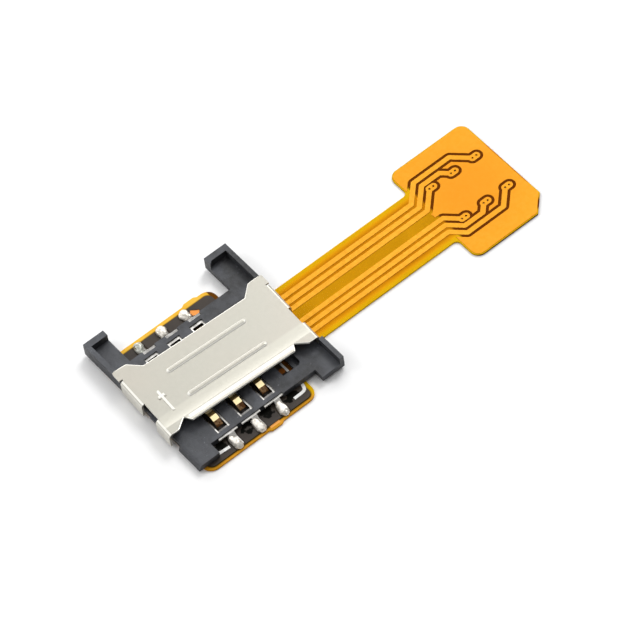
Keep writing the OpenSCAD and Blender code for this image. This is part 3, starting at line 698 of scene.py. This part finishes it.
def pressed_cover():
    """The cover with its top edges broken, for a painted highlight."""
    piece = flat_copy("cover", "pressed_cover")
    mesh = piece.data
    select_nothing("EDGE")
    faces = faces_by_edge(mesh)
    for edge in mesh.edges:
        ends = [mesh.vertices[i].co for i in edge.vertices]
        beside = faces.get(tuple(sorted(edge.vertices)), [])
        edge.select = len(beside) == 2 and is_highlight_edge(ends, beside)
    bpy.ops.object.mode_set(mode="EDIT")
    bpy.ops.mesh.bevel(offset=HIGHLIGHT_EDGE, segments=3, affect="EDGES", clamp_overlap=False,
                       material=EDGE_SLOT)
    bpy.ops.object.mode_set(mode="OBJECT")
    bpy.ops.object.shade_flat()
    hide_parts("cover")
    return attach(piece, "root")


def solder_blob(n):
    """A joint as it cooled: a ball drawn out along its pad, cut off underneath, with lumps."""
    low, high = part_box("solder_joint_%d" % n)
    middle = (low + high) / 2
    row, inward = ("near", 1) if middle.y < 0 else ("far", -1)
    lift = 0.08 * MM
    bpy.ops.object.select_all(action="DESELECT")
    bpy.ops.mesh.primitive_uv_sphere_add(segments=64, ring_count=32, radius=BALL,
                                         location=(middle.x, middle.y, low.z + lift))
    piece = bpy.context.object
    piece.name = "solder_blob_%d" % n
    piece.scale = BALL_SCALE[row]
    bpy.ops.object.transform_apply()

    # The end toward the housing is drawn up its wall and made slimmer
    mesh = piece.data
    for v in mesh.vertices:
        v.select = (v.co.y - middle.y) * inward > DRAWN_FROM
    for part in (*mesh.edges, *mesh.polygons):
        part.select = all(mesh.vertices[i].select for i in part.vertices)
    bpy.ops.object.mode_set(mode="EDIT")
    bpy.ops.transform.translate(value=(0, inward * DRAWN_OUT[row], 0))
    bpy.ops.transform.resize(value=DRAWN_SCALE, center_override=(middle.x, middle.y, low.z))
    bpy.ops.object.mode_set(mode="OBJECT")

    square = piece.modifiers.new("square", "CAST")
    square.cast_type = "CUBOID"
    square.factor = SQUARENESS
    for size, height in LUMPS:
        cloud = bpy.data.textures.new("lumps_%d_%g" % (n, size / MM), "CLOUDS")
        cloud.noise_scale = size
        cloud.noise_basis = "BLENDER_ORIGINAL"
        lump = piece.modifiers.new("lump", "DISPLACE")
        lump.texture = cloud
        lump.texture_coords = "LOCAL"
        lump.strength = height
        lump.mid_level = 0.5
    apply_all(piece)

    # Known fault: the cut's threshold is 0.1 mm when none is given, so its rim is uneven and the
    # faces within 0.1 mm of it are doubled. With threshold=0.001 * MM they would not be.
    edit_all()
    sunk = 0.01 * MM
    bpy.ops.mesh.bisect(plane_co=(0, 0, low.z - sunk), plane_no=(0, 0, 1), clear_inner=True,
                        use_fill=True)
    close_up()
    bpy.ops.object.shade_smooth_by_angle(angle=math.radians(50))
    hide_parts("solder_joint_%d" % n)
    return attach(piece, "root")


def ink_line(name, points, width):
    """A printed line on the mask: a thin raised strip through the points, in millimetres."""
    corners = [Vector((*p, 0)) * MM for p in points]
    along = (corners[1] - corners[0]).normalized()
    bpy.ops.object.select_all(action="DESELECT")
    bpy.ops.mesh.primitive_plane_add(size=width * MM, location=corners[0])
    piece = bpy.context.object
    piece.name = name
    piece.rotation_euler.z = math.atan2(along.y, along.x)
    bpy.ops.object.transform_apply()
    z = FILM_TOP + INK_LIFT
    for v in piece.data.vertices:
        v.co.z = z

    # Each leg grows from the last two corners by a stub, whose end then goes to the mitre
    select_nothing("VERT")
    for v in piece.data.vertices:
        v.select = (v.co - corners[0]).dot(along) > 0
    stub = 0.0001 * MM
    for i, corner in enumerate(corners[1:], 1):
        came = (corner - corners[i - 1]).normalized()
        goes = (corners[i + 1] - corner).normalized() if i + 1 < len(corners) else came
        mitre = (came + goes).normalized()
        across = Vector((-mitre.y, mitre.x, 0)) * (width * MM / 2) / mitre.dot(came)
        bpy.ops.object.mode_set(mode="EDIT")
        bpy.ops.mesh.extrude_edges_move(TRANSFORM_OT_translate={"value": came * stub})
        bpy.ops.object.mode_set(mode="OBJECT")
        ends = [v for v in piece.data.vertices if v.select]
        middle = sum((v.co for v in ends), Vector()) / len(ends)
        side = Vector((-came.y, came.x, 0))
        for v in ends:
            sign = 1 if (v.co - middle).dot(side) > 0 else -1
            v.co = Vector((corner.x, corner.y, z)) + across * sign

    thick = piece.modifiers.new("thick", "SOLIDIFY")
    thick.thickness = INK_THICK
    thick.offset = 0
    round_edge = piece.modifiers.new("round", "BEVEL")
    round_edge.width = INK_THICK / 3
    round_edge.segments = 2
    apply_all(piece)
    edit_all()
    close_up()
    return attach(piece, "root")


def numbered(stem):
    """The names of the six pieces of one kind."""
    return ["%s_%d" % (stem, n) for n in PLACES]


def dress(material, *names):
    """Gives nodes or pieces one material."""
    for name in names:
        mesh = bpy.data.objects[name].data
        mesh.materials.clear()
        mesh.materials.append(material)


def dress_edges(name, flat, edge):
    """Gives a piece one material on its faces and another on its broken edges."""
    mesh = bpy.data.objects[name].data
    slots = [face.material_index for face in mesh.polygons]
    mesh.materials.clear()
    mesh.materials.append(flat)
    mesh.materials.append(edge)
    for face, slot in zip(mesh.polygons, slots):
        face.material_index = slot


coverlay_sheet()
moulded_body()
pressed_cover()
for n in PLACES:
    solder_blob(n)
for name, (points, width) in INK_LINES.items():
    ink_line(name, points, width)

dress(film_finish(), "base_film")
dress(coverlay_finish(), "coverlay_sheet")
dress(copper_finish("poured_copper", dull=(0.64, 0.265, 0.006), bright=(0.70, 0.285, 0.012)),
      "ground_pour")
dress(copper_finish("trace_copper", dull=(0.66, 0.30, 0.012), bright=(0.74, 0.35, 0.020)),
      *numbered("copper_trace"))
dress(mask_finish(), "solder_mask")
dress(pad_finish(), *numbered("contact_pad"))
# The housing's broken edges take lighter colours: a painted highlight
dress_edges("moulded_body",
            moulding_finish("black_plastic", dark=(0.012, 0.0125, 0.014),
                            light=(0.034, 0.035, 0.039), scuff=(0.092, 0.098, 0.113),
                            worn_most=0.4),
            moulding_finish("edge_highlight_plastic", dark=(0.020, 0.021, 0.024),
                            light=(0.060, 0.063, 0.070), scuff=(0.14, 0.15, 0.17),
                            worn_most=0.5))
dress(spring_finish(), *numbered("contact"))
dress(solder_finish(), *numbered("solder_blob"))
dress(ink_finish(), *INK_LINES)
# The cover's broken top edges take near-white colours: a painted highlight
dress_edges("pressed_cover",
            cover_finish("satin_nickel", dull=(0.458, 0.446, 0.391),
                         bright=(0.472, 0.459, 0.404), cast=(0.495, 0.454, 0.396),
                         lip_light=(0.528, 0.512, 0.449), rough_least=0.36, rough_most=0.40),
            cover_finish("highlight_edge_nickel", dull=(0.86, 0.84, 0.77),
                         bright=(0.94, 0.92, 0.86), cast=(0.90, 0.88, 0.80),
                         lip_light=(0.90, 0.88, 0.82), rough_least=0.3, rough_most=0.4))


# Floor, light and camera

def floor():
    """A pale floor, a hair below the part."""
    bpy.ops.object.select_all(action="DESELECT")
    bpy.ops.mesh.primitive_plane_add(size=3.0, location=(0, 0, 0))
    plane = bpy.context.object
    plane.name = "floor"
    for v in plane.data.vertices:
        v.co.z = -0.01 * MM
    material, _, shader = finish("pale_floor")
    fill(shader, Base_Color=(0.93, 0.93, 0.93, 1), Roughness=0.9, Specular_IOR_Level=0.1)
    plane.data.materials.append(material)


def direction(azimuth, elevation):
    return Vector((math.cos(elevation) * math.cos(azimuth),
                   math.cos(elevation) * math.sin(azimuth), math.sin(elevation)))


def lamp(name, azimuth, elevation, size, watts):
    """A soft rectangular lamp that looks at the board end."""
    data = bpy.data.lights.new(name, "AREA")
    data.shape = "RECTANGLE"
    data.size, data.size_y = size
    data.energy = watts
    made = bpy.data.objects.new(name, data)
    away = direction(math.radians(azimuth), math.radians(elevation))
    made.location = LAMP_TARGET + away * LAMP_DISTANCE
    made.rotation_euler = (-away).to_track_quat("-Z", "Y").to_euler()
    bpy.context.scene.collection.objects.link(made)


def studio():
    """White walls, darker at the near side, and the lamps."""
    world = bpy.data.worlds.new("studio")
    bpy.context.scene.world = world
    world.use_nodes = True
    tree = world.node_tree
    sky = tree.nodes["Background"]
    light = fade(tree, coordinate(tree, "Generated", "Y"), -0.6, -0.1, 0.16, 0.80)
    join(tree, light, sky.inputs["Strength"])
    fill(sky, Color=(1, 1, 1, 1))
    for name, settings in LAMPS.items():
        lamp(name, *settings)
    bpy.context.scene.view_settings.view_transform = "Standard"


def camera():
    """The photograph's point of view, from the near left and above, with a slight roll."""
    azimuth, elevation, roll = (math.radians(v) for v in VIEW_ANGLES)
    back = direction(azimuth, elevation)
    side = (-back).cross(Vector((0, 0, 1))).normalized()
    top = side.cross(-back)
    right = side * math.cos(roll) + top * math.sin(roll)
    up = top * math.cos(roll) - side * math.sin(roll)
    data = bpy.data.cameras.new("photo")
    data.lens = LENS
    data.sensor_width = SENSOR
    data.clip_start = 0.01
    data.clip_end = 20
    made = bpy.data.objects.new("photo", data)
    turn = Matrix((right, up, back)).transposed().to_4x4()
    made.matrix_world = Matrix.Translation(VIEW_TARGET + back * VIEW_DISTANCE) @ turn
    bpy.context.scene.collection.objects.link(made)
    bpy.context.scene.camera = made


floor()
studio()
camera()
